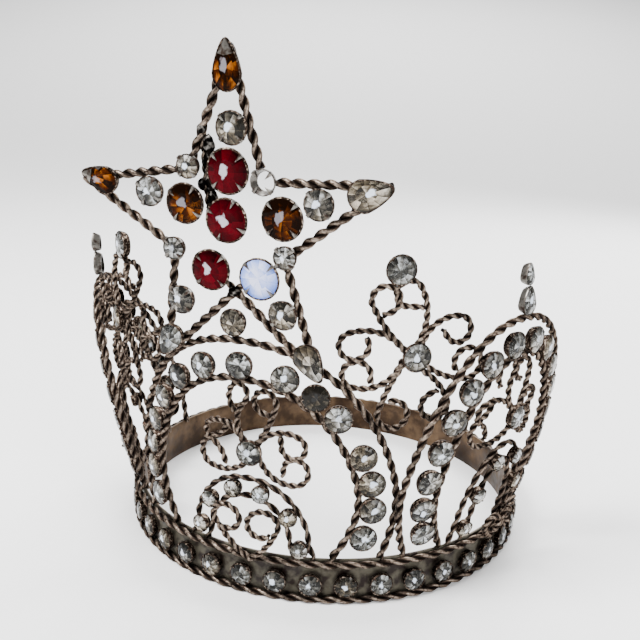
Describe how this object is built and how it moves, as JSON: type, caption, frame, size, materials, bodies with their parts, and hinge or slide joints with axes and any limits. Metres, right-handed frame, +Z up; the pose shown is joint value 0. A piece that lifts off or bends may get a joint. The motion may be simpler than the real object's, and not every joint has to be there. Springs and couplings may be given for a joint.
{
  "type": "ceremonial crown",
  "caption": "Small ceremonial crown of twisted brass wire on a plain band, with rows of paste stones, filigree scrolls and a front star set with coloured stones.",
  "frame": {"origin": "middle of the whole crown's bounding box, at the band's lower edge, on which it stands", "axes": "+Z up along the band's axis, -Y towards the front with the star, +X to the wearer's left, the right side of a front view"},
  "size_m": [0.1286, 0.1216, 0.126],
  "materials": {
    "brass": "dark oxidised brown patina, worn lighter on the raised wire",
    "clear_stone": "faceted clear paste in dark collets",
    "red_stone": "faceted deep red paste",
    "amber_stone": "faceted amber paste",
    "opal_stone": "faceted milky bluish paste"
  },
  "bodies": {
    "root": {"band": "brass", "lower_rope": "brass", "upper_rope": "brass", "right_shoulder_fleuron": "brass", "left_shoulder_fleuron": "brass", "star_frame": "brass", "star_notch_upper_right": "brass", "front_arch_wire": "brass", "front_stone_row": "brass", "front_small_arch": "brass", "front_fleuron": "brass", "front_heart": "brass", "right_arch_wire": "brass", "right_stone_row": "brass", "right_small_arch": "brass", "right_fleuron": "brass", "right_heart": "brass", "left_arch_wire": "brass", "left_stone_row": "brass", "left_small_arch": "brass", "left_fleuron": "brass", "left_heart": "brass", "star_clear_top": "clear_stone", "star_clear_left": "clear_stone", "star_clear_right": "clear_stone", "star_clear_low_left": "clear_stone", "star_clear_low_right": "clear_stone", "star_notch_upper_left": "clear_stone", "star_notch_left": "clear_stone", "star_notch_right": "clear_stone", "star_pear_right": "clear_stone", "star_pear_low_right": "clear_stone", "star_pear_low_left": "clear_stone", "crest_stone": "clear_stone", "right_finial_pear": "clear_stone", "right_finial_drop": "clear_stone", "left_finial_pear": "clear_stone", "left_finial_drop": "clear_stone", "star_red_top": "red_stone", "star_red_middle": "red_stone", "star_red_low": "red_stone", "star_amber_left": "amber_stone", "star_amber_right": "amber_stone", "star_pear_top": "amber_stone", "star_pear_left": "amber_stone", "star_opal": "opal_stone"}
  },
  "joints": []
}
